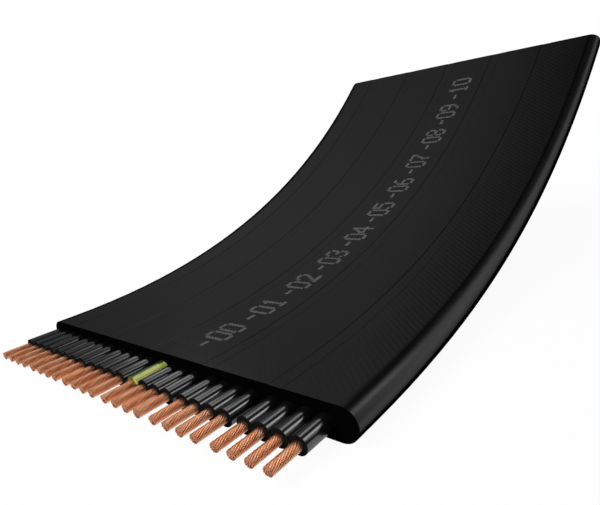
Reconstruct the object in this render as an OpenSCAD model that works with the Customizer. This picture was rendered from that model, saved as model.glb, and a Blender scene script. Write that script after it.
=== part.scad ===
// Flat travelling cable of a lift: a bent length with one end stripped.
// One row of stranded copper cores in groups, under a common flat sheath.
// Millimetres. X runs across the cable, Y along the stripped end, Z is up.
// The origin is the middle of the far cut end, where a hanger grips the cable.

/* [Core row] */
// Groups of cores, side by side
groups = 6; // [2:1:7]
// Cores in each group
cores_per_group = 4; // [2:1:5]
// Core that is the protective earth, counted from the -X edge
earth_core = 13; // [1:1:24]
// Outside diameter of a core over its insulation
core_d = 2.3; // [1.8:0.05:3]
// Space between two cores of one group
core_gap = 0.05; // [0.03:0.01:0.5]
// Further space between two groups
group_gap = 0.68; // [0.2:0.02:2]

/* [Conductor] */
// Diameter of a conductor over its strands
conductor_d = 1.3; // [0.8:0.05:1.5]
// Strands in the outer layer of a conductor
strands = 14; // [8:1:18]
// Depth of the groove between two outer strands
strand_groove = 0.08; // [0.03:0.01:0.12]
// Length in which a strand goes once round
lay_length = 13; // [8:0.5:30]

/* [Sheath] */
// Sheath over the cores, on the face inside the bend
wall_top = 1.3; // [0.6:0.05:2.5]
// Sheath under the cores, on the face outside the bend
wall_bottom = 0.75; // [0.4:0.05:2.5]
// Sheath beside the last core at the +X edge
wall_near = 2.9; // [0.6:0.05:5]
// Sheath beside the first core at the -X edge
wall_far = 0.65; // [0.4:0.05:5]
// Width of a tear strip, the flat channel along each face where two groups can be parted
tear_w = 2.1; // [0.6:0.1:4]
// Depth of a tear strip
tear_depth = 0.04; // [0.02:0.01:0.1]
// Width of each sloping side of a tear strip
tear_side = 0.15; // [0.05:0.05:0.25]
// Spacing of the tear strips, compared with that of the gaps under them
tear_spread = 1.1; // [0.9:0.02:1.1]

/* [Stripped end] */
// Insulation that stands out of the sheath
insulation_len = 4.7; // [2:0.1:20]
// Copper that stands out of the insulation
copper_len = 4.55; // [2:0.05:20]
// How far the hand cut through the sheath is out of square, in degrees
cut_skew = 1; // [0:0.25:5]

/* [Run] */
// Length of the sheath along its middle
sheath_len = 120; // [60:1:300]
// Straight length next to the stripped end
straight_len = 4; // [2:0.2:20]
// Radius of the bend at the middle of the sheath
bend_r = 167; // [100:1:400]

/* [Clearance] */
// Gap all round between a piece and the bore that holds it
fit_gap = 0.02; // [0.01:0.01:0.05]

/* [Hidden] */
cores = groups * cores_per_group;
pitch = core_d + core_gap;
row_w = (cores - 1) * pitch + (groups - 1) * group_gap;
sheath_t = core_d + wall_top + wall_bottom;
edge_r = sheath_t / 2;
near_x = row_w / 2 + core_d / 2 + wall_near;
far_x = row_w / 2 + core_d / 2 + wall_far;
row_z = (wall_bottom - wall_top) / 2;
bend_angle = (sheath_len - straight_len) / bend_r * 180 / PI;
end_y = straight_len + bend_r * sin(bend_angle);
end_z = bend_r * (1 - cos(bend_angle));
rod_r = conductor_d / 2 - fit_gap;
bundle_r = rod_r - fit_gap;
copper_root = conductor_d / 2;
crest_share = 0.2;
slice_twist = 30;

core_names = [for (i = [0 : cores - 1])
    i == earth_core - 1 ? "earth_core" : str("core_", i < 9 ? "0" : "", i + 1)];

// Place of a core across the cable
function core_x(i) = i * pitch + floor(i / cores_per_group) * group_gap - row_w / 2;

// Middle of the gap after a group
function gap_x(g) = (core_x(g * cores_per_group - 1) + core_x(g * cores_per_group)) / 2;

// Sweeps a section, drawn across and up, along the straight run and the bend
module run(lead) {
    translate([0, straight_len, 0])
        rotate([90, 0, 0])
            linear_extrude(straight_len + lead) children();
    translate([0, straight_len, bend_r])
        rotate([0, 90, 0])
            rotate_extrude(angle = bend_angle, $fn = 180)
                translate([bend_r, 0]) rotate(90) children();
}

// Puts the far cut end at the origin
module hung() {
    translate([0, -end_y, -end_z]) children();
}

// Flat outline with fully round edges
module sheath_outline() {
    translate([edge_r - far_x, -edge_r])
        square([near_x + far_x - 2 * edge_r, sheath_t]);
    translate([edge_r - far_x, 0]) circle(r = edge_r, $fn = 72);
    translate([near_x - edge_r, 0]) circle(r = edge_r, $fn = 72);
}

// Shallow channels on both faces, one for each gap between groups
module tear_strips() {
    floor_w = tear_w - 2 * tear_side;
    for (g = [1 : groups - 1], face = [-1, 1])
        translate([gap_x(g) * tear_spread, face * edge_r])
            polygon([
                [-tear_w / 2, 0], [-floor_w / 2, -tear_depth], [floor_w / 2, -tear_depth],
                [tear_w / 2, 0], [floor_w / 2, tear_depth], [-floor_w / 2, tear_depth]
            ]);
}

// Round hole for each core
module core_bores() {
    for (i = [0 : cores - 1])
        translate([core_x(i), row_z]) circle(d = core_d + 2 * fit_gap, $fn = 48);
}

// What the knife takes off the end of the sheath
module skew_cut() {
    reach = near_x + far_x + sheath_t;
    translate([near_x, 0, 0])
        rotate([0, 0, -cut_skew])
            translate([-reach, -reach, -reach / 2])
                cube([reach + sheath_t, reach, reach]);
}

module sheath() {
    color("#242526")
        hung()
            difference() {
                run(sheath_t) difference() {
                    sheath_outline();
                    tear_strips();
                    core_bores();
                }
                skew_cut();
            }
}

module insulation(i) {
    color(i == earth_core - 1 ? "#9fb832" : "#333536")
        hung()
            run(insulation_len)
                translate([core_x(i), row_z]) difference() {
                    circle(d = core_d, $fn = 48);
                    circle(d = conductor_d, $fn = 48);
                }
}

// Outline of the bundle: a blunt crest for each strand of the outer layer
module strand_outline() {
    groove = [-0.5, bundle_r - strand_groove];
    crest = [for (side = [-1, 1]) [side * crest_share, bundle_r]];
    polygon([for (k = [0 : strands - 1], p = concat([groove], crest))
        let (a = (k + p[0]) * 360 / strands)
            p[1] * [cos(a), sin(a)]]);
}

// Bare end of a conductor, its strands laid left-handed
module bare_strands() {
    len = copper_len + copper_root;
    twist = 360 * len / lay_length;
    rotate([90, 0, 0])
        translate([0, 0, insulation_len - copper_root])
            linear_extrude(len, twist = twist, slices = ceil(twist / slice_twist))
                strand_outline();
}

module conductor(i) {
    color("#c87850")
        hung() {
            run(insulation_len)
                translate([core_x(i), row_z]) circle(r = rod_r, $fn = 48);
            translate([core_x(i), 0, row_z]) bare_strands();
        }
}

sheath();
for (i = [0 : cores - 1]) {
    insulation(i);
    conductor(i);
}
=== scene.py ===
import math

import bpy
from mathutils import Matrix, Vector


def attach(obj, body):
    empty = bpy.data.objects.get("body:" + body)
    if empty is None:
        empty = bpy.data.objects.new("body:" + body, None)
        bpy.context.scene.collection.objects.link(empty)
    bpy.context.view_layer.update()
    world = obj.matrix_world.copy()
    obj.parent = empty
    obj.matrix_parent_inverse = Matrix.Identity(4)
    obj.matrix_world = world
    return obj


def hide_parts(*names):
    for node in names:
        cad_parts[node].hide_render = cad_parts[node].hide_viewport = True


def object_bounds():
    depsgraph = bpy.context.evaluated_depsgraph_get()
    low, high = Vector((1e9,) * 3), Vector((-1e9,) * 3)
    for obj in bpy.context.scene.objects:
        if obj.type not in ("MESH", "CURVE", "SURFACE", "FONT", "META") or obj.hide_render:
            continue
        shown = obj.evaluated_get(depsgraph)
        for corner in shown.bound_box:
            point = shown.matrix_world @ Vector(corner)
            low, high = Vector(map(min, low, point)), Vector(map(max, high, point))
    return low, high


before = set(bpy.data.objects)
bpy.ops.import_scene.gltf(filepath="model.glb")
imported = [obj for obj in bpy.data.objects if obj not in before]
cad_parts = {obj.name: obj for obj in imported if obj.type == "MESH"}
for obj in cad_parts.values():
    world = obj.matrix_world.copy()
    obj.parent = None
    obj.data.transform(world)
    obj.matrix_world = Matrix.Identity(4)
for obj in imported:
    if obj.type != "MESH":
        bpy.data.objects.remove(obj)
cad_box = [list(corner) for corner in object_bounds()]


# Copper conductors.
# Each core carries a bundle of twenty-four fine bright copper wires, laid left-handed in three layers.
# The bundle is cut off bare at the stripped end, which leaves its tips dull, and runs inside its insulation
# to the far cut end.
core_count = 24
cores_per_group = 4
earth_index = 12
core_pitch = 0.00235
group_gap = 0.00068
core_row_z = -0.000275
insulation_len = 0.0047
copper_len = 0.00455
straight_len = 0.004
bend_r = 0.167
sheath_len = 0.12
bend_angle = (sheath_len - straight_len) / bend_r
end_y = straight_len + bend_r * math.sin(bend_angle)
end_z = bend_r * (1 - math.cos(bend_angle))
insulation_tip = -end_y - insulation_len
bare_tip = insulation_tip - copper_len
row_width = (core_count - 1) * core_pitch + (core_count // cores_per_group - 1) * group_gap
core_x = [i * core_pitch + i // cores_per_group * group_gap - row_width / 2 for i in range(core_count)]
core_names = ["earth_core" if i == earth_index else f"core_{i + 1:02d}" for i in range(core_count)]


class Wire:
    """One socket of a node tree. Sums, products and comparisons of wires add Math nodes."""

    def __init__(self, tree, socket=None):
        self.tree = tree
        self.socket = socket

    def node(self, kind, settings=None, sockets=None, out=0):
        made = self.tree.nodes.new(kind)
        for name, value in (settings or {}).items():
            if name == "stops":
                ramp = made.color_ramp
                while len(ramp.elements) < len(value):
                    ramp.elements.new(1.0)
                for element, (place, colour) in zip(ramp.elements, value):
                    element.position = place
                    element.color = (*colour, 1.0)
            else:
                setattr(made, name, value)
        for key, value in (sockets or {}).items():
            if isinstance(value, Wire):
                self.tree.links.new(value.socket, made.inputs[key])
            else:
                made.inputs[key].default_value = value
        return Wire(self.tree, made.outputs[out])

    def output(self, name):
        return Wire(self.tree, self.socket.node.outputs[name])

    def math(self, operation, *values, clamp=False):
        settings = {"operation": operation, "use_clamp": clamp}
        return self.node("ShaderNodeMath", settings, dict(enumerate(values)))

    def feed(self, socket):
        self.tree.links.new(self.socket, socket)

    def __add__(self, other):
        return self.math("ADD", self, other)

    __radd__ = __add__

    def __sub__(self, other):
        return self.math("SUBTRACT", self, other)

    def __rsub__(self, other):
        return self.math("SUBTRACT", other, self)

    def __mul__(self, other):
        return self.math("MULTIPLY", self, other)

    def __truediv__(self, other):
        return self.math("DIVIDE", self, other)

    def __pow__(self, other):
        return self.math("POWER", self, other)

    def __lt__(self, other):
        return self.math("LESS_THAN", self, other)

    def __gt__(self, other):
        return self.math("GREATER_THAN", self, other)


def new_finish(name):
    """A material with a Principled shader: its tree as a Wire, and the shader's inputs."""
    material = bpy.data.materials.new(name)
    material.use_nodes = True
    shader = material.node_tree.nodes["Principled BSDF"]
    return material, Wire(material.node_tree), shader.inputs


def place_of(tree):
    """A point of the piece, in metres, then its X, Y and Z by themselves."""
    coords = tree.node("ShaderNodeTexCoord", out="Object")
    x = tree.node("ShaderNodeSeparateXYZ", None, {0: coords})
    return coords, x, x.output("Y"), x.output("Z")


def noise(tree, coords, scale, detail=2.0, stretch=(1.0, 1.0, 1.0)):
    """Noise from 0 to 1 with that many patches to the metre, drawn out where stretch is small."""
    drawn = tree.node("ShaderNodeMapping", None, {"Vector": coords, "Scale": stretch})
    return tree.node("ShaderNodeTexNoise", None, {"Vector": drawn, "Scale": scale, "Detail": detail})


def rise(tree, value, start, steepness):
    """0 up to the start, then growing by the steepness to the metre or unit, up to 1."""
    return tree.math("MULTIPLY", value - start, steepness, clamp=True)


def blend(tree, share, first, second):
    """The first colour where share is 0, the second where it is 1."""
    first_socket, second_socket, result = 6, 7, 2
    sockets = {"Factor": share}
    for key, colour in ((first_socket, first), (second_socket, second)):
        sockets[key] = colour if isinstance(colour, Wire) else (*colour, 1.0)
    return tree.node("ShaderNodeMix", {"data_type": "RGBA"}, sockets, out=result)


def bump(tree, height, strength, depth):
    """A normal for a surface that is that many metres rough."""
    sockets = {"Strength": strength, "Distance": depth, "Height": height}
    return tree.node("ShaderNodeBump", None, sockets, out="Normal")


shade_reach = 0.0002
shade_steepness = 1500.0
shade_depth = 0.6
tip_depth = 0.00006
tip_dullness = 0.75
tip_colour = (0.4, 0.2, 0.12)
copper_stops = [(0.2, (0.68, 0.235, 0.1)), (0.5, (0.95, 0.43, 0.225)), (0.8, (1.0, 0.65, 0.44))]
copper, tree, shader = new_finish("bright_copper")
coords, _, y, _ = place_of(tree)
wire_tone = tree.node("ShaderNodeAttribute", {"attribute_name": "wire_tone"}, out="Fac")
tarnish = noise(tree, coords, scale=900.0, detail=3.0)
draw_lines = noise(tree, coords, scale=9000.0, stretch=(1.0, 0.06, 1.0))
# Painted shade: the copper is painted darker where it runs into its insulation, starting a little before the
# insulation's end.
painted_root_shade = rise(tree, y, insulation_tip - shade_reach, shade_steepness)
tone = (wire_tone * 0.3 + tarnish * 0.4 + 0.18) * (1 - painted_root_shade * shade_depth)
drawn_copper = tree.node("ShaderNodeValToRGB", {"stops": copper_stops}, {"Fac": tone})
dull_tip = (y < bare_tip + tip_depth) * tip_dullness
blend(tree, dull_tip, drawn_copper, tip_colour).feed(shader["Base Color"])
(0.23 + tarnish * 0.14 + draw_lines * 0.06).feed(shader["Roughness"])
shader["Metallic"].default_value = 1.0
bump(tree, draw_lines, strength=0.12, depth=0.00002).feed(shader["Normal"])


def new_growth(name, sizes, counts, finish):
    """A Geometry Nodes tree with named inputs: its tree as a Wire, and the inputs' wires by name."""
    tree = bpy.data.node_groups.new(name, "GeometryNodeTree")
    tree.interface.new_socket("Geometry", in_out="INPUT", socket_type="NodeSocketGeometry")
    for inputs, kind in ((sizes, "NodeSocketFloat"), (counts, "NodeSocketInt")):
        for label, start in inputs.items():
            tree.interface.new_socket(label, in_out="INPUT", socket_type=kind).default_value = start
    tree.interface.new_socket(finish, in_out="INPUT", socket_type="NodeSocketMaterial")
    tree.interface.new_socket("Geometry", in_out="OUTPUT", socket_type="NodeSocketGeometry")
    given = Wire(tree).node("NodeGroupInput")
    return Wire(tree), {label: given.output(label) for label in ("Geometry", *sizes, *counts, finish)}


def end_growth(tree, geometry, finish):
    """Closes a tree: real meshes in place of instances, in the finish that was given."""
    geometry = tree.node("GeometryNodeRealizeInstances", None, {"Geometry": geometry})
    geometry = tree.node("GeometryNodeSetMaterial", None, {"Geometry": geometry, "Material": finish})
    geometry.feed(tree.tree.nodes.new("NodeGroupOutput").inputs[0])


def point(tree, x, y, z):
    """A place from its three wires or numbers."""
    return tree.node("ShaderNodeCombineXYZ", None, {"X": x, "Y": y, "Z": z})


def sweep(tree, along, across, height):
    """Points of the cable's run, straight and then round the bend, at a height over the sheath's middle."""
    turn = tree.math("MAXIMUM", along - straight_len, 0.0) / bend_r
    reach = bend_r - height
    ahead = tree.math("MINIMUM", along, straight_len)
    run_y = ahead + reach * tree.math("SINE", turn) - end_y
    run_z = bend_r - reach * tree.math("COSINE", turn) - end_z
    return point(tree, across, run_y, run_z)


def stepped_line(tree, steps):
    """A line in that many points, to be laid in place, and how far along it each point is, from 0 to 1."""
    line = tree.node("GeometryNodeCurvePrimitiveLine")
    line = tree.node("GeometryNodeResampleCurve", None, {"Curve": line, "Count": steps})
    return line, tree.node("GeometryNodeSplineParameter", out="Factor")


def tube(tree, line, radius, sides):
    """A round bar along a line, closed at both ends."""
    section = tree.node("GeometryNodeCurvePrimitiveCircle", None, {"Resolution": sides, "Radius": radius})
    sockets = {"Curve": line, "Profile Curve": section, "Fill Caps": True}
    return tree.node("GeometryNodeCurveToMesh", None, sockets)


def random_value(tree, low, high, seed, number=None):
    """A random value for each number, or for each point where no number is given."""
    low_socket, high_socket, number_socket, seed_socket = 2, 3, 7, 8
    sockets = {low_socket: low, high_socket: high, seed_socket: seed}
    if number is not None:
        sockets[number_socket] = number
    return tree.node("FunctionNodeRandomValue", {"data_type": "FLOAT"}, sockets, out=1)


def laid_wires(tree, given, root_y, tip_y, steps, uneven, salt):
    """Wires of all three layers from root_y out to tip_y, each one a helix about the core's own middle."""
    layer_nesting = 0.95
    middle_turn = 0.03
    seed_step = 7
    wire_sides = 8
    outer, middle, inner = given["Outer Wires"], given["Middle Wires"], given["Inner Wires"]
    thick = given["Wire Diameter"]
    line, out_share = stepped_line(tree, steps)
    copies = {"Geometry": line, "Amount": outer + middle + inner}
    wires = tree.node("GeometryNodeDuplicateElements", {"domain": "SPLINE"}, copies)
    number = wires.output("Duplicate Index")
    in_outer = number < outer
    in_inner = number > outer + middle - 0.5
    in_middle = 1 - in_outer - in_inner
    outer_r = given["Bundle Radius"] - thick / 2
    lay_r = in_outer * outer_r + in_middle * (outer_r - thick * layer_nesting) + in_inner * (thick * 0.5)
    share = in_outer * (number / outer) + in_middle * ((number - outer) / middle + middle_turn)
    share = share + in_inner * ((number - outer - middle) / inner)

    def chance(low, high, shift):
        return random_value(tree, low, high, given["Seed"] * seed_step + (shift + salt), number)

    wire_y = root_y + out_share * ((tip_y - root_y) + chance(-uneven, uneven, 1))
    flare = 1 + given["Splay"] * chance(-0.25, 1.0, 2) * out_share**4
    lay = (wire_y + end_y) / given["Lay Length"]
    angle = given["Phase"] + (share + lay) * math.tau + chance(-0.05, 0.05, 3)
    off_middle = lay_r * flare + chance(-0.000012, 0.000008, 4)
    wire_x = given["Core X"] + off_middle * tree.math("COSINE", angle)
    wire_z = given["Core Z"] + off_middle * tree.math("SINE", angle) - end_z
    helix = {"Geometry": wires, "Position": point(tree, wire_x, wire_y, wire_z)}
    wires = tree.node("GeometryNodeSetPosition", None, helix)
    toned = {"Geometry": wires, "Name": "wire_tone", "Value": chance(0.0, 1.0, 5)}
    per_point = {"data_type": "FLOAT", "domain": "POINT"}
    wires = tree.node("GeometryNodeStoreNamedAttribute", per_point, toned)
    return tube(tree, wires, thick / 2, wire_sides)


bundle_sizes = {
    "Core X": 0.0,
    "Core Z": core_row_z,
    "Bundle Radius": 0.00062,
    "Wire Diameter": 0.000225,
    "Lay Length": 0.009,
    "Phase": 0.0,
    "Splay": 0.05,
}
bundle_counts = {"Outer Wires": 14, "Middle Wires": 8, "Inner Wires": 2, "Seed": 0}
wire_root = 0.0012
rod_inset = 0.001
rod_clearance = 0.00002
rod_sides = 14
heart_inset = 0.00012
bundle, given = new_growth("laid_copper_wires", bundle_sizes, bundle_counts, "Copper")
bare_root = insulation_tip + wire_root
bare_end = laid_wires(bundle, given, bare_root, bare_tip, steps=14, uneven=0.00003, salt=0)
far_end = laid_wires(bundle, given, -end_y - wire_root, -end_y, steps=4, uneven=0.00001, salt=20)
to_origin = {"Geometry": far_end, "Translation": (0.0, end_y, end_z)}
far_end = bundle.node("GeometryNodeTransform", None, to_origin)
far_turn = {"Geometry": far_end, "Rotation": (bend_angle, 0.0, 0.0)}
far_end = bundle.node("GeometryNodeTransform", None, far_turn)
rod_line, rod_share = stepped_line(bundle, steps=40)
rod_along = rod_inset - insulation_len + rod_share * (sheath_len + insulation_len - 2 * rod_inset)
rod_place = sweep(bundle, rod_along, given["Core X"], given["Core Z"])
rod_line = bundle.node("GeometryNodeSetPosition", None, {"Geometry": rod_line, "Position": rod_place})
rod = tube(bundle, rod_line, given["Bundle Radius"] - rod_clearance, rod_sides)
heart_z = given["Core Z"] - end_z
heart_root = point(bundle, given["Core X"], bare_root, heart_z)
heart_tip = point(bundle, given["Core X"], bare_tip + heart_inset, heart_z)
heart_line = bundle.node("GeometryNodeCurvePrimitiveLine", None, {"Start": heart_root, "End": heart_tip})
heart = tube(bundle, heart_line, given["Bundle Radius"] - given["Wire Diameter"], rod_sides)
whole = bundle.node("GeometryNodeJoinGeometry")
for part in (rod, heart, far_end, bare_end):
    part.feed(whole.socket.node.inputs[0])
end_growth(bundle, whole, given["Copper"])


def grow(name, growth, settings, points=()):
    """Runs a node tree once, on points if there are any, and gives the result as a plain mesh object."""
    seed_mesh = bpy.data.meshes.new(name + "_seed")
    seed_mesh.from_pydata(points, [], [])
    seed = bpy.data.objects.new(name + "_seed", seed_mesh)
    bpy.context.scene.collection.objects.link(seed)
    modifier = seed.modifiers.new("grow", "NODES")
    modifier.node_group = growth.tree
    for item in growth.tree.interface.items_tree:
        if item.in_out == "INPUT" and item.name in settings:
            modifier[item.identifier] = settings[item.name]
    grown = seed.evaluated_get(bpy.context.evaluated_depsgraph_get())
    mesh = bpy.data.meshes.new_from_object(grown)
    mesh.name = name
    bpy.data.objects.remove(seed)
    piece = bpy.data.objects.new(name, mesh)
    bpy.context.scene.collection.objects.link(piece)
    return piece


golden_turn = 2.39996
first_seed = 3
sharp_angle = math.radians(75)
for i, name in enumerate(core_names):
    phase = i * golden_turn % math.tau
    settings = {"Core X": core_x[i], "Phase": phase, "Seed": i + first_seed, "Copper": copper}
    piece = grow(name + "_wires", bundle, settings)
    piece.data.shade_smooth()
    piece.data.set_sharp_from_angle(angle=sharp_angle)
    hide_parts(name + "_conductor")
    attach(piece, "root")


# Core insulation.
# Twenty-three of the cores have a thin tube of glossy black PVC, extruded over the bundle of wires.
# The stripping tool has cut it off square a few millimetres in front of the sheath.
ring_depth = 0.00004
ring_colour = (0.008, 0.0075, 0.008)
black_pvc, tree, shader = new_finish("glossy_black_core")
coords, _, y, _ = place_of(tree)
haze = noise(tree, coords, scale=500.0, detail=4.0)
die_lines = noise(tree, coords, scale=5000.0, stretch=(1.0, 0.03, 1.0))
blend(tree, haze, (0.002, 0.002, 0.0024), (0.006, 0.0062, 0.0068)).feed(shader["Base Color"])
(0.1 + haze * 0.08 + die_lines * 0.04).feed(shader["Roughness"])
shader["Specular IOR Level"].default_value = 1.0
bump(tree, die_lines * 0.6 + haze * 0.4, strength=0.1, depth=0.00003).feed(shader["Normal"])


def shown_as(tree, share, other):
    """Shows the Principled shader where share is 0, and the other shader where it is 1."""
    nodes = tree.tree.nodes
    plain = Wire(tree.tree, nodes["Principled BSDF"].outputs[0])
    mixed = tree.node("ShaderNodeMixShader", None, {0: share, 1: plain, 2: other})
    mixed.feed(nodes["Material Output"].inputs["Surface"])


def dull_where(tree, share, colour):
    """Takes the shine off where share is 1 and leaves a dull colour, as on a face that a blade has cut, or
    as painted shade.
    """
    shown_as(tree, share, tree.node("ShaderNodeBsdfDiffuse", None, {"Color": (*colour, 1.0)}))


dull_where(tree, y < insulation_tip + ring_depth, ring_colour)
for name in core_names:
    if name != "earth_core":
        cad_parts[name + "_insulation"].data.materials[0] = black_pvc


# Earth core insulation.
# The protective earth is the thirteenth core. Its PVC is extruded in two colours at once: green, with two
# wide yellow stripes that run along opposite sides of it.
stripe_turn = 0.84
stripe_half = 0.5
stripe_steepness = 14.0
earth_pvc, tree, shader = new_finish("green_yellow_core")
coords, x, _, z = place_of(tree)
turn = tree.math("ARCTAN2", x - core_x[earth_index], z + (end_z - core_row_z)) - stripe_turn
stripe_edge = noise(tree, coords, scale=2500.0)
off_stripe = tree.math("ABSOLUTE", tree.math("SINE", turn)) + stripe_edge * 0.1
green = rise(tree, off_stripe, stripe_half, stripe_steepness)
blend(tree, green, (0.5, 0.55, 0.1), (0.024, 0.055, 0.008)).feed(shader["Base Color"])
(0.14 + stripe_edge * 0.1).feed(shader["Roughness"])
shader["Specular IOR Level"].default_value = 1.0
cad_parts["earth_core_insulation"].data.materials[0] = earth_pvc


# Sheath.
# One flat jacket of satin black PVC is extruded round the whole row, with round edges and shallow tear
# strips between the groups. The haul-off belt leaves a faint weave on it, and a knife has cut it dull at
# both ends. A band along the near edge, the round edges where they are seen at a glancing angle and the
# sloping sides of the tear strips are painted dull black as painted shade.
sheath_t = 0.00435
cut_skew = math.radians(1.0)
cut_depth = 0.00003
tear_w = 0.0021
tear_side = 0.00015
tear_spread = 1.1
tear_side_shade = 0.5
weave_pitch = 0.0011
weave_least = 0.1
weave_from_x = 0.012
weave_steepness = 120.0
flat_margin = 0.0004
limb_start = 0.46
limb_steepness = 5.0
dark_band_start = 0.0006
dark_band_drift = 0.02
dark_band_least = 0.0001
dark_band_half = 0.0004
dark_band_widening = 0.7
dark_band_share = 0.8
# Dull black for the cut ends, and as painted shade for the rim, the near-edge band and the tear-strip sides.
cut_and_shade_black = (0.0012, 0.0012, 0.0012)
sheath_pvc, tree, shader = new_finish("satin_black_sheath")
coords, x, y, z = place_of(tree)
bend_y = straight_len - end_y
turned = tree.math("ARCTAN2", y - bend_y, bend_r - end_z - z)
in_bend = y > bend_y
along = in_bend * (straight_len + turned * bend_r) + (1 - in_bend) * (y + end_y)
weave_turn = math.tau / weave_pitch
weave = tree.math("SINE", (along + x) * weave_turn) + tree.math("SINE", (along - x) * weave_turn) * 0.4
grain = noise(tree, coords, scale=1400.0, detail=4.0)
cloud = noise(tree, coords, scale=60.0, detail=3.0)
blend(tree, cloud, (0.0025, 0.0025, 0.0027), (0.004, 0.004, 0.0043)).feed(shader["Base Color"])
(0.22 + cloud * 0.06 + grain * 0.08).feed(shader["Roughness"])
shader["Specular IOR Level"].default_value = 0.25
far_x, near_x = cad_box[0][0], cad_box[1][0]
near_round = near_x - sheath_t / 2
on_flat = (x < near_round) * (x > far_x + sheath_t / 2 + flat_margin)
weave_share = weave_least + rise(tree, x, weave_from_x, weave_steepness) * (1 - weave_least)
relief = weave * weave_share * on_flat * 0.7 + grain * 0.4
bump(tree, relief, strength=0.3, depth=0.00002).feed(shader["Normal"])
near_cut = along < (near_x - x) * math.tan(cut_skew) + cut_depth
far_cut = along > sheath_len - cut_depth
# Painted shade: the round edges are painted dull black where they are seen at a glancing angle, as a dark
# rim along their outline.
glancing = tree.node("ShaderNodeLayerWeight", None, {"Blend": 0.5}, out="Facing")
painted_rim = rise(tree, glancing, limb_start, limb_steepness) * (1 - on_flat)
# Painted shade: a dull black band on the round of the near edge, narrower and closer to the flat top further
# along the cable.
dark_band_in = tree.math("MAXIMUM", dark_band_start - along * dark_band_drift, dark_band_least)
dark_band_reach = dark_band_half + dark_band_in * dark_band_widening
off_dark_band = tree.math("ABSOLUTE", x - near_round - dark_band_in) / dark_band_reach
painted_dark_band = tree.math("SUBTRACT", 1.0, off_dark_band, clamp=True) * dark_band_share
# Painted shade: the sloping sides of the tear strips are painted dull black, as dark lines along them.
strip_step = (cores_per_group * core_pitch + group_gap) * tear_spread
off_strip = tree.math("PINGPONG", x, strip_step / 2)
strip_side = (off_strip > tear_w / 2 - tear_side) * (off_strip < tear_w / 2) * on_flat
cuts_and_painted_rim = tree.math("MAXIMUM", near_cut + far_cut, painted_rim)
painted_dark_lines = painted_dark_band + strip_side * tear_side_shade
dull_where(tree, tree.math("MAXIMUM", cuts_and_painted_rim, painted_dark_lines), cut_and_shade_black)
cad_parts["sheath"].data.materials[0] = sheath_pvc


# Length marks.
# A line of grey dots of ink, jetted on the top face as the cable leaves the extruder: a count of centimetres
# from the stripped end, with a short dash before each number.
mark_count = 11
first_mark = 0.0045
mark_step = 0.01
column_step = 0.0005
row_step = 0.00066
figure_step = 0.0029
figure_foot_x = 0.0072
dash = "..... ..... ..... .###. ..... ..... ....."
figures = [
    ".###. #...# #...# #...# #...# #...# .###.",
    "..#.. .##.. ..#.. ..#.. ..#.. ..#.. .###.",
    ".###. #...# ....# ...#. ..#.. .#... #####",
    ".###. #...# ....# ..##. ....# #...# .###.",
    "...#. ..##. .#.#. #..#. ##### ...#. ...#.",
    "##### #.... ####. ....# ....# #...# .###.",
    "..##. .#... #.... ####. #...# #...# .###.",
    "##### ....# ...#. ..#.. .#... .#... .#...",
    ".###. #...# #...# .###. #...# #...# .###.",
    ".###. #...# #...# .#### ....# ...#. .##..",
]
dots = []
for mark in range(mark_count):
    start = first_mark + mark * mark_step
    for place, figure in enumerate([dash] + [figures[int(digit)] for digit in f"{mark:02d}"]):
        for row, line in enumerate(reversed(figure.split())):
            for column, cell in enumerate(line):
                if cell == "#":
                    dot_along = start + place * figure_step + column * column_step
                    dots.append((figure_foot_x - row * row_step, dot_along, sheath_t / 2))

ink, tree, shader = new_finish("grey_ink")
coords = place_of(tree)[0]
worn = noise(tree, coords, scale=2200.0, detail=3.0)
blend(tree, worn, (0.037, 0.037, 0.036), (0.092, 0.092, 0.091)).feed(shader["Base Color"])
(0.6 + worn * 0.2).feed(shader["Roughness"])

dot_sizes = {"Dot Radius": 0.00036, "Ink Depth": 0.00003}
dot_sides = 8
smallest_dot, largest_dot = 0.85, 1.1
jet, given = new_growth("jetted_ink_dots", dot_sizes, {"Seed": 5}, "Ink")
dot_round = {"Vertices": dot_sides, "Radius": given["Dot Radius"], "Depth": given["Ink Depth"]}
dot = jet.node("GeometryNodeMeshCylinder", {"fill_type": "NGON"}, dot_round)
dot_size = random_value(jet, smallest_dot, largest_dot, given["Seed"])
dot_scale = point(jet, dot_size, dot_size, 1.0)
jetted = {"Points": given["Geometry"], "Instance": dot, "Scale": dot_scale}
jetted = jet.node("GeometryNodeInstanceOnPoints", None, jetted)
jetted = jet.node("GeometryNodeRealizeInstances", None, {"Geometry": jetted})
flat_x = jet.node("ShaderNodeSeparateXYZ", None, {0: jet.node("GeometryNodeInputPosition")})
on_face = sweep(jet, flat_x.output("Y"), flat_x, flat_x.output("Z"))
jetted = jet.node("GeometryNodeSetPosition", None, {"Geometry": jetted, "Position": on_face})
end_growth(jet, jetted, given["Ink"])
marks = grow("length_marks", jet, {"Ink": ink}, dots)
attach(marks, "root")


# Studio.
# The cable lies on a plain white floor before a white background. A wide soft panel hangs over it to the
# left, three strips over and beside the stripped end, a panel stands behind to the right, and the key light
# in front. Floor and background look white by themselves, with only a trace of the cable's shadow.
floor_drop = 0.0002
floor_half = 4.0
floor_z = cad_box[0][2] - floor_drop
floor = bpy.data.objects.new("floor", bpy.data.meshes.new("floor"))
floor_corners = [(-1, -1), (1, -1), (1, 1), (-1, 1)]
floor_points = [(side * floor_half, end * floor_half, floor_z) for side, end in floor_corners]
floor.data.from_pydata(floor_points, [], [(0, 1, 2, 3)])
bpy.context.scene.collection.objects.link(floor)
white, tree, shader = new_finish("white_floor")
shader["Base Color"].default_value = (0.82, 0.82, 0.82, 1.0)
shader["Roughness"].default_value = 0.9
shader["Specular IOR Level"].default_value = 0.0


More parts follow.
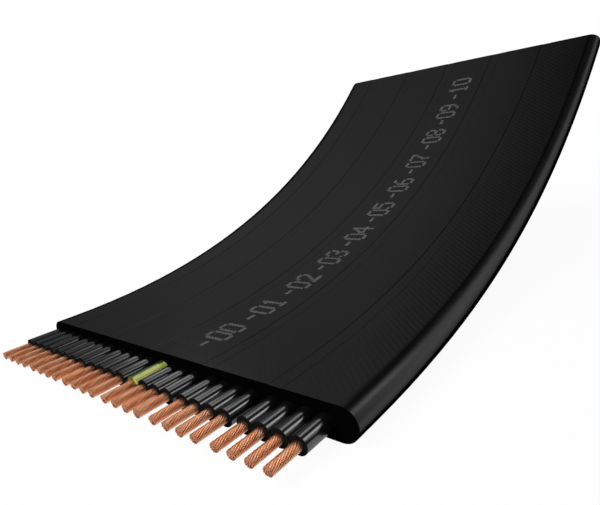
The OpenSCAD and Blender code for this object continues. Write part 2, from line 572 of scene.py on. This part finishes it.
def white_rays(tree, mirrored):
    """1 for rays straight from the camera or through glass, and a share of it for mirrored ones."""
    path = tree.node("ShaderNodeLightPath", out="Is Camera Ray")
    return path + path.output("Is Transmission Ray") + path.output("Is Glossy Ray") * mirrored


shadow_middle_y = -0.06
shadow_r = 0.05
shadow_fade = 5.0
shadow_share = 0.05
floor_mirrored = 0.5
_, x, y, _ = place_of(tree)
off_y = y - shadow_middle_y
from_middle = tree.math("SQRT", x * x + off_y * off_y)
far_off = rise(tree, from_middle, shadow_r, shadow_fade)
bright = tree.node("ShaderNodeEmission", None, {"Color": (1.0, 1.0, 1.0, 1.0), "Strength": 1.0})
whitened = white_rays(tree, floor_mirrored) * (1 - shadow_share + far_off * shadow_share)
shown_as(tree, whitened, bright)
floor.data.materials.append(white)

room_light = 0.022
room_mirrored = 0.01
world = bpy.data.worlds.new("white_room")
bpy.context.scene.world = world
world.use_nodes = True
backdrop = world.node_tree.nodes["Background"].inputs
backdrop["Color"].default_value = (1.0, 1.0, 1.0, 1.0)
tree = Wire(world.node_tree)
(room_light + white_rays(tree, room_mirrored) * (1 - room_light)).feed(backdrop["Strength"])

stripped_end = Vector((0.0, -end_y, -end_z))


def lamp(name, place, looks, up, width, height, brightness, spread=180.0):
    """A soft rectangular lamp, placed from the stripped end. A brightness of 1 looks as bright as white."""
    data = bpy.data.lights.new(name, "AREA")
    data.shape = "RECTANGLE"
    data.size = width
    data.size_y = height
    data.energy = math.pi * width * height * brightness
    data.spread = math.radians(spread)
    body = bpy.data.objects.new(name, data)
    back = -Vector(looks).normalized()
    side = Vector(up).cross(back).normalized()
    turn = Matrix((side, back.cross(side), back)).transposed().to_4x4()
    body.matrix_world = Matrix.Translation(stripped_end + Vector(place)) @ turn
    body.visible_camera = False
    bpy.context.scene.collection.objects.link(body)


down = (0.0, 0.0, -1.0)
upright = (0.0, 0.0, 1.0)
lengthwise = (0.0, 1.0, 0.0)
aslant = (-0.696, 0.718, 0.0)
to_copper = (0.028, -0.053, -0.066)
to_cores = (-0.026, -0.0255, -0.0283)
to_sheath = (-0.22, -0.415, -0.156)
to_tips = (0.15, 0.42, -0.55)
lamp("left_panel", (-0.216, 0.107, 0.12), down, aslant, 0.35, 0.38, brightness=0.19, spread=157.0)
lamp("core_strip", (0.014, 0.034, 0.05), down, lengthwise, 0.022, 0.028, brightness=1.45)
lamp("copper_strip", (-0.04, 0.046, 0.066), to_copper, lengthwise, 0.05, 0.016, brightness=1.5)
lamp("side_strip", (0.0487, 0.0225, 0.0283), to_cores, lengthwise, 0.012, 0.03, brightness=0.47, spread=70.0)
lamp("right_panel", (0.22, 0.415, 0.156), to_sheath, upright, 0.36, 0.33, brightness=1.0)
lamp("front_key", (-0.15, -0.42, 0.55), to_tips, upright, 0.5, 0.5, brightness=7.6)

picture_w, picture_h = 600, 505
focal_px = 480.776
middle_px_x, middle_px_y = 260.0, 330.0
camera = bpy.data.objects.new("camera", bpy.data.cameras.new("camera"))
camera.data.sensor_fit = "HORIZONTAL"
camera.data.sensor_width = 36.0
camera.data.lens = focal_px / picture_w * camera.data.sensor_width
camera.data.shift_x = (picture_w / 2 - middle_px_x) / picture_w
camera.data.shift_y = (middle_px_y - picture_h / 2) / picture_w
camera.data.clip_start = 0.005
heading, dip, roll = -0.75933, -0.36669, -0.13597
aim = Matrix.Rotation(-heading, 4, "Z") @ Matrix.Rotation(math.pi / 2 + dip, 4, "X")
eye = stripped_end + Vector((0.054073, -0.034466, 0.027073))
camera.matrix_world = Matrix.Translation(eye) @ aim @ Matrix.Rotation(roll, 4, "Z")
bpy.context.scene.collection.objects.link(camera)
bpy.context.scene.camera = camera
bpy.context.scene.view_settings.view_transform = "Standard"
